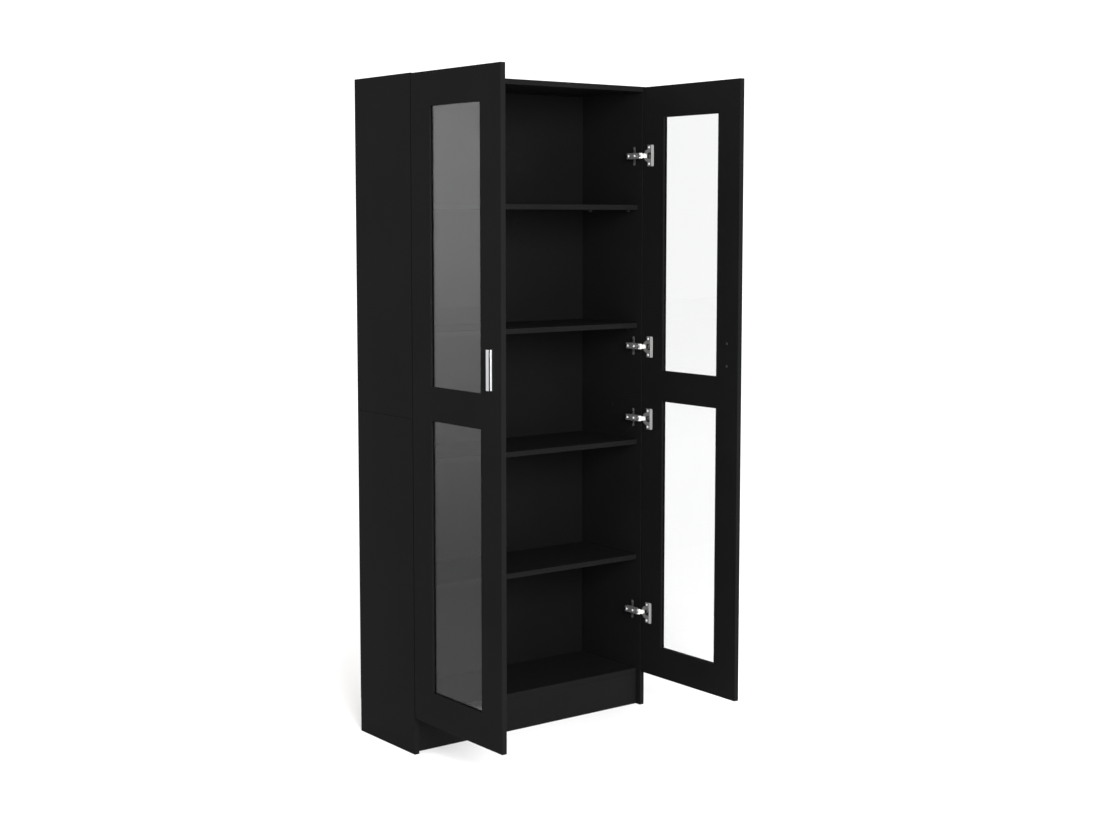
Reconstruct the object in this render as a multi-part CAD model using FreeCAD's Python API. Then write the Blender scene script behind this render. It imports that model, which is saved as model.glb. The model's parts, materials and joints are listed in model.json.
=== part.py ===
import FreeCAD, Part
import math
import os
from FreeCAD import Vector

# A tall flat-pack bookcase with two glazed doors, both standing open square to the front.
# Millimetres. +X is the viewer's right, +Y goes to the back and +Z is up.
# The origin is on the floor, under the middle of the plinth.

# Carcass boards
carcass_height = 1855.0
carcass_width = 825.0
board = 15.0
side_depth = 284.5
side_split_height = 930.0
front_setback = 20.0
plinth_height = 95.0
shelf_count = 4
loose_below_fixed_count = 1
top_compartment_loss = 5.0
shelf_end_gap = 1.0
shelf_back_gap = 1.0
edge_ease = 0.6
back_sheet = 3.0
back_inset = 1.5
back_seam = 0.6

# Doors and their glass
door_thickness = 15.0
door_gap = 2.5
door_edge_inset = 1.0
door_meeting_gap = 3.0
door_foot_height = 103.5
door_head_gap = 1.5
stile_width = 91.0
rail_width = 91.0
pane_count = 2
front_lip = 5.5
glass_thickness = 4.0
rebate_width = 6.0
glass_play = 0.8
bead_play = 0.1
bead_sink = 0.4
bead_bevel = 2.0

# Pull handles
handle_centre_height = 1088.0
handle_length = 104.0
handle_base_width = 12.0
handle_reach = 11.0
handle_flute_radius = 5.0
handle_flute_depth = 2.6
handle_round = 1.4
handle_screw_pitch = 64.0
handle_screw_radius = 2.0
handle_screw_grip = 7.0
handle_screw_head_radius = 4.0
handle_screw_head = 2.2

# Open door, measured from the side board's front outer corner
rest_opening = 90.0
open_edge_gap = 3.3
open_face_proud = 0.5

# Hinge places: the number of compartments below, then the share of the clear height of its own
hinge_place_shares = (0.537, 2.197, 2.839, 4.435)

# Hinge cup, let into the door
cup_radius = 17.5
cup_depth = 11.5
cup_wall = 0.6
cup_edge_distance = 3.0
cup_play = 0.1
pocket_half_width = 6.3
pocket_mouth_half_width = 9.2
pocket_step = 2.0
flange_thickness = 1.0
wing_half_height = 31.0
wing_start_lead = 7.0
wing_far_reach = 19.5
wing_corner = 3.0
wing_fold = 9.5
wing_fold_rise = 0.8
wing_offset = 6.0
cup_screw_pitch = 48.0

# Hinge pins and links, in plan
arm_pin_height = 12.0
arm_pin_lead = 0.5
arm_pin_radius = 1.3
cup_pin_reach = 4.5
cup_pin_radius = 1.0
inner_pin_height = 6.5
inner_pin_setback = 8.0
inner_pin_radius = 1.2
tip_offset_x = 0.5
tip_offset_y = 0.75
tip_radius = 0.6
socket_offset_x = 0.19
socket_offset_y = 0.94
socket_radius = 1.75
socket_depth = 1.3
neck_lift = 4.6
neck_reach = 9.4
inner_neck_lift = 3.2
inner_neck_reach = 8.1
outer_eye = 2.5
outer_neck = 1.6
outer_tip = 1.7
inner_eye = 2.3
inner_neck = 1.2
inner_tip = 1.2
link_half_width = 5.8
link_ear = 1.3
link_web = 1.2
web_half_width = 7.6
web_start_share = 0.28
web_end_share = 0.56
inner_half_width = 4.0

# Hinge arm and its mounting plate
arm_half_width = 8.4
arm_wall = 2.0
arm_top = 14.0
arm_rear = 56.0
arm_foot = 2.4
arm_nose_radius = 3.1
arm_throat_setback = 12.0
arm_web_start = 8.5
plate_thickness = 2.0
plate_setback = 37.0
plate_screw_pitch = 32.0
plate_wing_half_width = 4.0
plate_wing_reach = 27.5
tongue_lead = 5.5
saddle_front = 27.0
saddle_rear = 54.0
clamp_screw_setback = 48.0
adjusting_screw_setback = 20.0
arm_screw_radius = 2.2
arm_screw_head_radius = 3.5
arm_screw_head = 1.8

# Chipboard screws of the cups and plates
wood_screw_radius = 1.6
wood_screw_length = 11.0
wood_screw_head_radius = 3.4
wood_screw_head = 1.5

# Carcass fasteners
dowel_radius = 4.0
dowel_length = 30.0
dowel_side_depth = 10.0
dowel_play = 0.1
cam_radius = 7.5
cam_length = 11.5
cam_reach = 24.0
cam_slot_width = 2.0
cam_slot_depth = 2.2
bolt_radius = 3.0
bolt_grip = 10.0
shelf_pin_radius = 2.5
shelf_pin_grip = 8.0
shelf_pin_reach = 7.0
shelf_pin_width = 10.0
shelf_pin_ledge = 5.4
nail_radius = 0.8
nail_length = 15.0
nail_head_radius = 2.3
nail_head = 0.8
nail_up_count = 1
nail_across_count = 1
dowel_place_shares = (0.16, 0.84)
cam_place_shares = (0.5,)
pin_place_shares = (0.16, 0.84)

# Sides of the small round pieces, which repeat so often that they are drawn as plain prisms
shank_side_count = 4
fastener_side_count = 6
pin_side_count = 6
cam_side_count = 6
cup_side_count = 16
eye_step_count = 2

# Fits that all the pieces share
overrun = 1.0
running_play = 0.05
fixed_play = 0.02
hole_end_play = 0.5

# Places that follow from the sizes above
x_axis = Vector(1, 0, 0)
y_axis = Vector(0, 1, 0)
z_axis = Vector(0, 0, 1)
front_y = -front_setback - board / 2
back_y = front_y + side_depth
left_face = -carcass_width / 2
inner_left = left_face + board
inner_width = carcass_width - 2 * board
floor_board_top = plinth_height + board
fixed_shelf = loose_below_fixed_count
stacked_height = carcass_height - floor_board_top + top_compartment_loss
shelf_pitch = stacked_height / (shelf_count + 1)
door_width = (carcass_width - 2 * door_edge_inset - door_meeting_gap) / 2
door_height = carcass_height - door_foot_height - door_head_gap
door_left = left_face + door_edge_inset
door_back = front_y - door_gap
door_front = door_back - door_thickness
opening_width = door_width - 2 * stile_width
opening_height = (door_height - (pane_count + 1) * rail_width) / pane_count
cup_centre = cup_edge_distance + cup_radius


def box(low, size):
    return Part.makeBox(size.x, size.y, size.z, low)


def eased_board(low, size):
    """A board with its twelve edges eased, as edge banding is."""
    plain = box(low, size)
    return plain.makeChamfer(edge_ease, plain.Edges)


def rod(radius, start, axis, length, sides=fastener_side_count):
    """A slender round piece or its hole, as a prism whose corners lie on the circle."""
    across = Vector(axis.z, axis.x, axis.y)
    up = axis.cross(across)
    corners = []
    for step in range(sides):
        bearing = 2 * math.pi * step / sides
        corners.append(start + (across * math.cos(bearing) + up * math.sin(bearing)) * radius)
    return Part.Face(Part.makePolygon(corners + corners[:1])).extrude(axis * length)


def running_bore(radius, sides):
    """The corner radius of a bore whose flats clear a turning pin."""
    return (radius + running_play) / math.cos(math.pi / sides)


def fused(shapes):
    return shapes[0].multiFuse(shapes[1:]).removeSplitter()


def drilled(shape, cutters):
    return shape.cut(Part.makeCompound(cutters))


def mirrored(shape):
    return shape.mirror(Vector(0, 0, 0), x_axis)


def along(share, low, high):
    return low + share * (high - low)


# Heights of the shelves and of the compartments between them
def floor_of(compartment):
    return floor_board_top + compartment * shelf_pitch


def clear_height(compartment):
    if compartment < shelf_count:
        return shelf_pitch - board
    return carcass_height - board - floor_of(shelf_count)


def hinge_heights():
    heights = []
    for place in hinge_place_shares:
        compartment = int(place)
        heights.append(floor_of(compartment) + (place - compartment) * clear_height(compartment))
    return heights


# The pole about which a shut door turns into the open one, and the hinge pins round it, in plan
def plan(x_in, y_in):
    return Vector(left_face + x_in, front_y + y_in, 0)


pole_x = (door_gap + door_thickness - open_face_proud + door_edge_inset - open_edge_gap) / 2
pole_y = (door_edge_inset - open_edge_gap - door_gap - door_thickness + open_face_proud) / 2
pole = plan(pole_x, pole_y)


def opened(shape):
    """A shape of the shut left door, moved to where the open door holds it."""
    turned = shape.copy()
    turned.rotate(pole, z_axis, -rest_opening)
    return turned


def opened_point(point):
    return pole + FreeCAD.Rotation(z_axis, -rest_opening).multVec(point - pole)


arm_pin = plan(board + arm_pin_height, -arm_pin_lead)
pole_to_pin = math.atan2(arm_pin.y - pole.y, arm_pin.x - pole.x)
cup_pin_bearing = pole_to_pin + math.radians(rest_opening) / 2
cup_pin_turn = Vector(math.cos(cup_pin_bearing), math.sin(cup_pin_bearing), 0)
cup_pin_shut = pole + cup_pin_turn * cup_pin_reach
cup_pin = opened_point(cup_pin_shut)
inner_pin = plan(board + inner_pin_height, inner_pin_setback)
inner_tip_point = opened_point(pole + Vector(tip_offset_x, tip_offset_y, 0))
socket_shut = pole + Vector(socket_offset_x, socket_offset_y, 0)
open_door_face = door_thickness - open_face_proud
outer_neck_point = plan(open_door_face + neck_lift, -open_edge_gap - neck_reach)
inner_neck_point = plan(open_door_face + inner_neck_lift, -open_edge_gap - inner_neck_reach)


# Carcass boards
def side_boards():
    lower = eased_board(Vector(left_face, front_y, 0), Vector(board, side_depth, side_split_height))
    upper_height = carcass_height - side_split_height
    upper_low = Vector(left_face, front_y, side_split_height)
    upper = eased_board(upper_low, Vector(board, side_depth, upper_height))
    return lower, upper


def top_board():
    low = Vector(inner_left, front_y, carcass_height - board)
    return eased_board(low, Vector(inner_width, side_depth, board))


def floor_board():
    low = Vector(inner_left, front_y + front_setback, plinth_height)
    return eased_board(low, Vector(inner_width, side_depth - front_setback, board))


def plinth_board():
    low = Vector(inner_left, front_y + front_setback, 0)
    return eased_board(low, Vector(inner_width, board, plinth_height))


def shelf_board(number):
    fixed = number == fixed_shelf
    end_gap = 0 if fixed else shelf_end_gap
    back_gap = 0 if fixed else shelf_back_gap
    low = Vector(inner_left + end_gap, front_y + front_setback, floor_of(number + 1) - board)
    depth = side_depth - front_setback - back_gap
    return eased_board(low, Vector(inner_width - 2 * end_gap, depth, board))


def back_sheets():
    width = carcass_width - 2 * back_inset
    seam = floor_of(fixed_shelf + 1) - board / 2
    lower_low = Vector(left_face + back_inset, back_y, plinth_height)
    lower = box(lower_low, Vector(width, back_sheet, seam - back_seam / 2 - plinth_height))
    upper_foot = seam + back_seam / 2
    upper_low = Vector(left_face + back_inset, back_y, upper_foot)
    upper = box(upper_low, Vector(width, back_sheet, carcass_height - back_inset - upper_foot))
    return lower, upper


# Dowels and cam fittings of the left half
def joint_levels():
    """Middle heights of the boards that are fixed between the sides."""
    levels = [plinth_height + board / 2]
    levels.append(floor_of(fixed_shelf + 1) - board / 2)
    levels.append(carcass_height - board / 2)
    return levels


def dowel_and_hole(start, axis):
    dowel = rod(dowel_radius, start, axis, dowel_length)
    hole_start = start - axis * hole_end_play
    hole = rod(dowel_radius + dowel_play, hole_start, axis, dowel_length + 2 * hole_end_play)
    return dowel, hole


def left_dowels():
    pairs = []
    start_x = inner_left - dowel_side_depth
    for level in joint_levels():
        for share in dowel_place_shares:
            place = along(share, front_y + front_setback, back_y)
            pairs.append(dowel_and_hole(Vector(start_x, place, level), x_axis))
    pairs.append(dowel_and_hole(Vector(start_x, 0, plinth_height / 2), x_axis))
    for share in dowel_place_shares:
        place = along(share, front_y, back_y)
        foot = side_split_height - dowel_length / 2
        pairs.append(dowel_and_hole(Vector(left_face + board / 2, place, foot), z_axis))
    return pairs


def cam_fitting(joint, way, face_way, half_board):
    """A slotted cam let in from one face, and the bolt whose end it grips."""
    centre = joint + way * cam_reach
    mouth = centre + face_way * half_board
    cam = rod(cam_radius, mouth, -face_way, cam_length, cam_side_count)
    slot_long = way * (2 * cam_radius + 2 * overrun)
    slot_wide = way.cross(face_way) * cam_slot_width
    corner = mouth - (slot_long + slot_wide) / 2
    outline = [corner, corner + slot_long, corner + slot_long + slot_wide, corner + slot_wide, corner]
    cam = cam.cut(Part.Face(Part.makePolygon(outline)).extrude(-face_way * cam_slot_depth))
    bolt_end = cam_reach - cam_radius - fixed_play
    start = joint - way * bolt_grip
    bolt = rod(bolt_radius, start, way, bolt_grip + bolt_end)
    bolt_hole = rod(bolt_radius + fixed_play, start - way * hole_end_play, way,
                    hole_end_play + bolt_grip + cam_reach)
    cam_hole = rod(cam_radius + fixed_play, mouth + face_way * overrun, -face_way,
                   cam_length + hole_end_play + overrun, cam_side_count)
    return cam, bolt, [bolt_hole, cam_hole]


def left_cams():
    fittings = []
    for level in joint_levels():
        for share in cam_place_shares:
            place = along(share, front_y + front_setback, back_y)
            joint = Vector(inner_left, place, level)
            fittings.append(cam_fitting(joint, x_axis, -z_axis, board / 2))
    for share in cam_place_shares:
        place = along(share, front_y, back_y)
        joint = Vector(left_face + board / 2, place, side_split_height)
        fittings.append(cam_fitting(joint, -z_axis, x_axis, board / 2))
    return fittings


def left_shelf_pins():
    pins, holes = [], []
    for number in range(shelf_count):
        if number == fixed_shelf:
            continue
        under = floor_of(number + 1) - board
        for share in pin_place_shares:
            place = along(share, front_y + front_setback, back_y)
            start = Vector(inner_left - shelf_pin_grip, place, under - shelf_pin_radius)
            peg = rod(shelf_pin_radius, start, x_axis, shelf_pin_grip, shank_side_count)
            low = Vector(inner_left, place - shelf_pin_width / 2, under - shelf_pin_ledge)
            ledge = box(low, Vector(shelf_pin_reach, shelf_pin_width, shelf_pin_ledge))
            pins.append(fused([peg, ledge]))
            hole_start = start - x_axis * hole_end_play
            holes.append(rod(shelf_pin_radius + fixed_play, hole_start, x_axis,
                             shelf_pin_grip + hole_end_play, shank_side_count))
    return pins, holes


def nail_places():
    """Nails up both side boards and along the boards that the sheets reach."""
    seam = floor_of(fixed_shelf + 1) - board / 2
    spans = ((plinth_height + board, seam - board), (seam + board, carcass_height - board))
    places = []
    for low, high in spans:
        for step in range(nail_up_count):
            height = along((step + 1) / (nail_up_count + 1), low, high)
            places.append((left_face + board / 2, height))
            places.append((-left_face - board / 2, height))
    rows = (plinth_height + board / 2, seam - board / 4, seam + board / 4, carcass_height - board / 2)
    for height in rows:
        for step in range(nail_across_count):
            place = along((step + 1) / (nail_across_count + 1), inner_left, -inner_left)
            places.append((place, height))
    return places


def back_nails():
    nails, holes = [], []
    for place, height in nail_places():
        tip = Vector(place, back_y + back_sheet - nail_length, height)
        shank = rod(nail_radius, tip, y_axis, nail_length, shank_side_count)
        head = rod(nail_head_radius, Vector(place, back_y + back_sheet, height), y_axis, nail_head)
        nails.append(fused([shank, head]))
        holes.append(rod(nail_radius + fixed_play, tip - y_axis * hole_end_play, y_axis,
                         nail_length + hole_end_play, shank_side_count))
    return nails, holes


# Left door, modelled shut
def opening_low(pane):
    return Vector(door_left + stile_width, door_front,
                  door_foot_height + rail_width + pane * (opening_height + rail_width))


def door_board():
    """One board with its two glass openings cut through and rebated from the inside."""
    panel = eased_board(Vector(door_left, door_front, door_foot_height),
                        Vector(door_width, door_thickness, door_height))
    cuts = []
    for pane in range(pane_count):
        low = opening_low(pane)
        through_low = low - y_axis * overrun
        cuts.append(box(through_low, Vector(opening_width, door_thickness + 2 * overrun, opening_height)))
        rebate_low = low + Vector(-rebate_width, front_lip, -rebate_width)
        cuts.append(box(rebate_low, Vector(opening_width + 2 * rebate_width,
                                           door_thickness - front_lip + overrun,
                                           opening_height + 2 * rebate_width)))
    panel = drilled(panel, cuts)
    rims = []
    for edge in panel.Edges:
        middle = edge.CenterOfMass
        on_face = abs(middle.y - door_front) < edge_ease / 2 and edge.BoundBox.YLength < edge_ease / 2
        if on_face and door_left + stile_width / 2 < middle.x < door_left + door_width - stile_width / 2:
            if door_foot_height + rail_width / 2 < middle.z < door_foot_height + door_height - rail_width / 2:
                rims.append(edge)
    return panel.makeChamfer(edge_ease, rims)


def glass_pane(pane):
    reach = rebate_width - glass_play
    low = opening_low(pane) + Vector(-reach, front_lip, -reach)
    return box(low, Vector(opening_width + 2 * reach, glass_thickness, opening_height + 2 * reach))


def glazing_beads(pane):
    """Four mitred strips that hold a pane in its rebate, each with its inner edge bevelled."""
    low = opening_low(pane)
    reach = rebate_width - bead_play
    depth = door_thickness - front_lip - glass_thickness - bead_sink
    start_y = door_front + front_lip + glass_thickness
    left, right = low.x - reach, low.x + opening_width + reach
    foot, head = low.z - reach, low.z + opening_height + reach
    width = rebate_width - bead_play
    outer = [(left, foot), (right, foot), (right, head), (left, head)]
    signs = [(1, 1), (-1, 1), (-1, -1), (1, -1)]

    def corner(number, inset, y):
        x, z = outer[number]
        sign_x, sign_z = signs[number]
        return Vector(x + sign_x * inset, y, z + sign_z * inset)

    strips = []
    for number in range(len(outer)):
        other = (number + 1) % len(outer)
        sections = []
        for end in (number, other):
            section = [corner(end, 0, start_y), corner(end, width, start_y),
                       corner(end, width, start_y + depth - bead_bevel),
                       corner(end, width - bead_bevel, start_y + depth),
                       corner(end, 0, start_y + depth)]
            sections.append(Part.makePolygon(section + section[:1]))
        strips.append(Part.makeLoft(sections, True, True))
    return strips


def handle_axis_x():
    return door_left + door_width - stile_width / 2


def handle_bar():
    """A plated bar with a finger flute down each side."""
    low = Vector(handle_axis_x() - handle_base_width / 2, door_front - handle_reach,
                 handle_centre_height - handle_length / 2)
    bar = box(low, Vector(handle_base_width, handle_reach, handle_length))
    fronts = [edge for edge in bar.Edges
              if edge.BoundBox.ZLength > handle_reach and edge.CenterOfMass.y < door_front - handle_round]
    bar = bar.makeFillet(handle_round, fronts)
    flutes = []
    out = handle_base_width / 2 + handle_flute_radius - handle_flute_depth
    for side in (-1, 1):
        start = Vector(handle_axis_x() + side * out, door_front - handle_reach / 2, low.z - overrun)
        flutes.append(Part.makeCylinder(handle_flute_radius, handle_length + 2 * overrun, start, z_axis))
    return drilled(bar, flutes)


def handle_screws():
    screws, holes = [], []
    for side in (-1, 1):
        height = handle_centre_height + side * handle_screw_pitch / 2
        tip = Vector(handle_axis_x(), door_front - handle_screw_grip, height)
        shank = rod(handle_screw_radius, tip, y_axis, handle_screw_grip + door_thickness)
        head = rod(handle_screw_head_radius, Vector(handle_axis_x(), door_back, height), y_axis,
                   handle_screw_head)
        screws.append(fused([shank, head]))
        holes.append(rod(handle_screw_radius + fixed_play, tip - y_axis * hole_end_play, y_axis,
                         handle_screw_grip + door_thickness + hole_end_play + overrun))
    return screws, holes


# Hinge pieces of one left hinge, at height zero
def tapered_bar(start, start_radius, end, end_radius, half_width):
    """The hull of two circles in plan, each drawn in short steps, as thick as the piece is wide."""
    way = math.atan2(end.y - start.y, end.x - start.x)
    spread = math.acos((start_radius - end_radius) / (end - start).Length)

    def arc(centre, radius, first, last):
        points = []
        for step in range(eye_step_count + 1):
            bearing = along(step / eye_step_count, first, last)
            points.append(centre + Vector(math.cos(bearing), math.sin(bearing), 0) * radius)
        return points

    corners = arc(start, start_radius, way + spread, way + 2 * math.pi - spread)
    corners += arc(end, end_radius, way - spread, way + spread)
    face = Part.Face(Part.makePolygon(corners + corners[:1]))
    face.translate(Vector(0, 0, -half_width))
    return face.extrude(Vector(0, 0, 2 * half_width))


def slab(half_width):
    """Everything near the hinge between two heights, for cutting the middle out of a wide piece."""
    reach = arm_rear + 2 * cup_radius
    low = plan(-reach, -reach) - z_axis * half_width
    return box(low, Vector(2 * reach + board, 2 * reach, 2 * half_width))


def pin_rod(radius, point, low, high):
    return rod(radius, point + z_axis * low, z_axis, high - low, pin_side_count)


def outer_link():
    """Two hooked ears and the web that joins them on the room side."""
    hook = fused([tapered_bar(arm_pin, outer_eye, outer_neck_point, outer_neck, link_half_width),
                  tapered_bar(outer_neck_point, outer_neck, cup_pin, outer_tip, link_half_width)])
    ears = hook.cut(slab(link_half_width - link_ear))
    run = outer_neck_point - arm_pin
    side = Vector(-run.y, run.x, 0).normalize()
    near = arm_pin + run * web_start_share
    far = arm_pin + run * web_end_share
    inside = outer_neck - link_web
    outline = [near + side * inside, far + side * inside, far + side * outer_neck, near + side * outer_neck]
    web_face = Part.Face(Part.makePolygon(outline + outline[:1]))
    web_face.translate(Vector(0, 0, -web_half_width))
    web = web_face.extrude(Vector(0, 0, 2 * web_half_width))
    bores = []
    for radius, point in ((arm_pin_radius, arm_pin), (cup_pin_radius, cup_pin)):
        bores.append(pin_rod(running_bore(radius, pin_side_count), point, -arm_half_width, arm_half_width))
    return drilled(fused([ears, web]), bores)


def inner_link():
    """A narrow hook under the outer link, with a round stub each side of its tip."""
    hook = fused([tapered_bar(inner_pin, inner_eye, inner_neck_point, inner_neck, inner_half_width),
                  tapered_bar(inner_neck_point, inner_neck, inner_tip_point, inner_tip, inner_half_width),
                  pin_rod(tip_radius, inner_tip_point, -stub_reach(), stub_reach())])
    bore_radius = running_bore(inner_pin_radius, pin_side_count)
    return drilled(hook, [pin_rod(bore_radius, inner_pin, -arm_half_width, arm_half_width)])


def stub_reach():
    return pocket_half_width + socket_depth - hole_end_play


def hinge_arm():
    """A channel that straddles the saddle, open at the nose, with the rivets that the links turn on."""
    top = arm_top
    throat_radius = (top - arm_foot) / 2
    throat = plan(board + arm_foot + throat_radius, arm_throat_setback)
    low = plan(board + arm_foot, arm_throat_setback) - z_axis * arm_half_width
    beam = box(low, Vector(top - arm_foot, arm_rear - arm_throat_setback, 2 * arm_half_width))
    nose = tapered_bar(arm_pin, arm_nose_radius, throat, throat_radius, arm_half_width)
    solid = fused([beam, nose])
    inside = arm_half_width - arm_wall
    channel_low = plan(board, arm_web_start) - z_axis * inside
    channel = box(channel_low, Vector(top - arm_wall, arm_rear, 2 * inside))
    mouth_low = plan(board, arm_web_start - arm_rear) - z_axis * inside
    mouth = box(mouth_low, Vector(2 * top, arm_rear, 2 * inside))
    holes = []
    for setback in (clamp_screw_setback, adjusting_screw_setback):
        holes.append(rod(arm_screw_radius + fixed_play, plan(board, setback), x_axis, 2 * top,
                         shank_side_count))
    hollow = drilled(solid, [channel, mouth] + holes)
    rivets = [pin_rod(arm_pin_radius, arm_pin, -arm_half_width, arm_half_width),
              pin_rod(inner_pin_radius, inner_pin, -arm_half_width, arm_half_width)]
    return fused([hollow] + rivets)


def plate_screw_points():
    return [plan(board, plate_setback) + z_axis * (side * plate_screw_pitch / 2) for side in (-1, 1)]


def hinge_plate():
    """A winged plate on the side board, with the saddle that the arm sits on."""
    wing_low = plan(board, plate_setback) + Vector(0, -plate_wing_half_width, -plate_wing_reach)
    wing_size = Vector(plate_thickness, 2 * plate_wing_half_width, 2 * plate_wing_reach)
    pieces = [box(wing_low, wing_size)]
    saddle_half = arm_half_width - arm_wall - running_play
    saddle_low = plan(board, saddle_front) - z_axis * saddle_half
    pieces.append(box(saddle_low, Vector(arm_top - arm_wall, saddle_rear - saddle_front, 2 * saddle_half)))
    tongue_low = plan(board, adjusting_screw_setback - tongue_lead) - z_axis * saddle_half
    tongue_length = saddle_front - adjusting_screw_setback + tongue_lead
    pieces.append(box(tongue_low, Vector(plate_thickness, tongue_length, 2 * saddle_half)))
    holes = [rod(wood_screw_radius + fixed_play, point, x_axis, arm_top, shank_side_count)
             for point in plate_screw_points()]
    clamp_start = plan(board + plate_thickness, clamp_screw_setback)
    holes.append(rod(arm_screw_radius + fixed_play, clamp_start, x_axis, arm_top, shank_side_count))
    return drilled(fused(pieces), holes)


def arm_screws():
    """The clamp screw into the saddle and the adjusting screw that bears on the plate."""
    screws = []
    for setback in (clamp_screw_setback, adjusting_screw_setback):
        tip = plan(board + plate_thickness, setback)
        shank = rod(arm_screw_radius, tip, x_axis, arm_top - plate_thickness, shank_side_count)
        head = rod(arm_screw_head_radius, plan(board + arm_top, setback), x_axis, arm_screw_head)
        screws.append(fused([shank, head]))
    return screws


def wood_screw(seat, axis, under):
    """A screw whose head seats on a plate, with its shank going through that plate into the board."""
    head = rod(wood_screw_head_radius, seat, axis, wood_screw_head)
    length = under + wood_screw_length
    shank = rod(wood_screw_radius, seat - axis * length, axis, length, shank_side_count)
    hole = rod(wood_screw_radius + fixed_play, seat - axis * (length + hole_end_play), axis,
               length + hole_end_play, shank_side_count)
    return fused([head, shank]), hole


def cup_face_point(distance, height):
    """A point on the shut door's inner face, at a distance from its hinge edge."""
    return Vector(door_left + distance, door_back, height)


def cup_screw_points():
    return [cup_face_point(cup_centre + wing_offset, side * cup_screw_pitch / 2) for side in (-1, 1)]


def wing_plate(start, thickness):
    """The cup's screw plate from a distance to its far edge, whose two corners are cut off."""
    far = cup_centre + wing_offset + wing_far_reach
    outline = [cup_face_point(start, -wing_half_height), cup_face_point(far - wing_corner, -wing_half_height),
               cup_face_point(far, wing_corner - wing_half_height)]
    outline += [Vector(corner.x, corner.y, -corner.z) for corner in reversed(outline)]
    return Part.Face(Part.makePolygon(outline + outline[:1])).extrude(y_axis * thickness)


def hinge_cup():
    """A round cup with a screw plate folded at its far edge, and a pocket with the links' pins and sockets."""
    face_point = cup_face_point(cup_centre, 0)
    body = rod(cup_radius, face_point + y_axis * flange_thickness, -y_axis, cup_depth + flange_thickness,
               cup_side_count)
    pieces = [body, wing_plate(cup_centre + wing_offset - wing_start_lead, flange_thickness),
              wing_plate(cup_centre + wing_offset + wing_far_reach - wing_fold,
                         flange_thickness + wing_fold_rise)]
    pocket_top = face_point + y_axis * (flange_thickness + overrun)
    pocket_depth = cup_depth - cup_wall + flange_thickness + overrun
    pocket = rod(cup_radius - cup_wall, pocket_top, -y_axis, pocket_depth, cup_side_count)
    mouth_low = cup_face_point(cup_centre - pocket_step, -pocket_mouth_half_width) - y_axis * pocket_depth
    mouth_size = Vector(2 * cup_radius, 2 * pocket_depth, 2 * pocket_mouth_half_width)
    cutters = [pocket.common(slab(pocket_half_width)), pocket.common(box(mouth_low, mouth_size))]
    pins = []
    for side in (-1, 1):
        low, high = sorted((side * pocket_half_width, side * (pocket_half_width + socket_depth)))
        cutters.append(pin_rod(socket_radius, socket_shut, low, high))
        ends = sorted((side * (link_half_width - link_ear), side * pocket_half_width))
        pins.append(pin_rod(cup_pin_radius, cup_pin_shut, ends[0], ends[1]))
    for point in cup_screw_points():
        cutters.append(rod(wood_screw_radius + fixed_play, point - y_axis * cup_depth, y_axis,
                           cup_depth + 2 * flange_thickness, shank_side_count))
    return fused([drilled(fused(pieces), cutters)] + pins)


def at_heights(shapes):
    """Copies of one hinge's pieces at every hinge height."""
    copies = []
    for height in hinge_heights():
        for shape in shapes:
            copy = shape.copy()
            copy.translate(z_axis * height)
            copies.append(copy)
    return copies


# Left half of the bookcase
nodes = {}
dowel_pairs = left_dowels()
cam_fittings = left_cams()
shelf_pins, shelf_pin_holes = left_shelf_pins()
nails, nail_holes = back_nails()
plate_pairs = [wood_screw(point + x_axis * plate_thickness, x_axis, plate_thickness)
               for point in plate_screw_points()]
cup_pairs = [wood_screw(point + y_axis * flange_thickness, y_axis, flange_thickness)
             for point in cup_screw_points()]
pull_screws, pull_screw_holes = handle_screws()
carcass_holes = [hole for dowel, hole in dowel_pairs]
carcass_holes += [hole for cam, bolt, holes in cam_fittings for hole in holes]
side_holes = carcass_holes + shelf_pin_holes + nail_holes
side_holes += at_heights([hole for screw, hole in plate_pairs])
side_lower, side_upper = side_boards()
nodes["left_side_lower"] = drilled(side_lower, side_holes)
nodes["left_side_upper"] = drilled(side_upper, side_holes)

# Left door, shut first and then opened
door_holes = at_heights([hole for screw, hole in cup_pairs]) + pull_screw_holes
bore = rod(cup_radius + cup_play, cup_face_point(cup_centre, 0) + y_axis * overrun, -y_axis,
           cup_depth + cup_play + overrun, cup_side_count)
door_holes += at_heights([bore])
door_pieces = {"left_door_panel": drilled(door_board(), door_holes)}
door_pieces["left_glass_lower"] = glass_pane(0)
door_pieces["left_glass_upper"] = glass_pane(1)
beads = [strip for pane in range(pane_count) for strip in glazing_beads(pane)]
door_pieces["left_glazing_beads"] = Part.makeCompound(beads)
door_pieces["left_handle"] = drilled(handle_bar(), pull_screw_holes)
door_pieces["left_handle_screws"] = Part.makeCompound(pull_screws)
door_pieces["left_hinge_cups"] = Part.makeCompound(at_heights([hinge_cup()]))
door_pieces["left_cup_screws"] = Part.makeCompound(at_heights([screw for screw, hole in cup_pairs]))
for name, shape in door_pieces.items():
    nodes[name] = opened(shape)

# Hinge pieces that stay on the side board, and the links
nodes["left_hinge_plates"] = Part.makeCompound(at_heights([hinge_plate()]))
nodes["left_plate_screws"] = Part.makeCompound(at_heights([screw for screw, hole in plate_pairs]))
nodes["left_hinge_arms"] = Part.makeCompound(at_heights([hinge_arm()]))
nodes["left_arm_screws"] = Part.makeCompound(at_heights(arm_screws()))
nodes["left_outer_links"] = Part.makeCompound(at_heights([outer_link()]))
nodes["left_inner_links"] = Part.makeCompound(at_heights([inner_link()]))

# The right half is the left one mirrored
for name in list(nodes):
    nodes[name.replace("left", "right", 1)] = mirrored(nodes[name])

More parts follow.
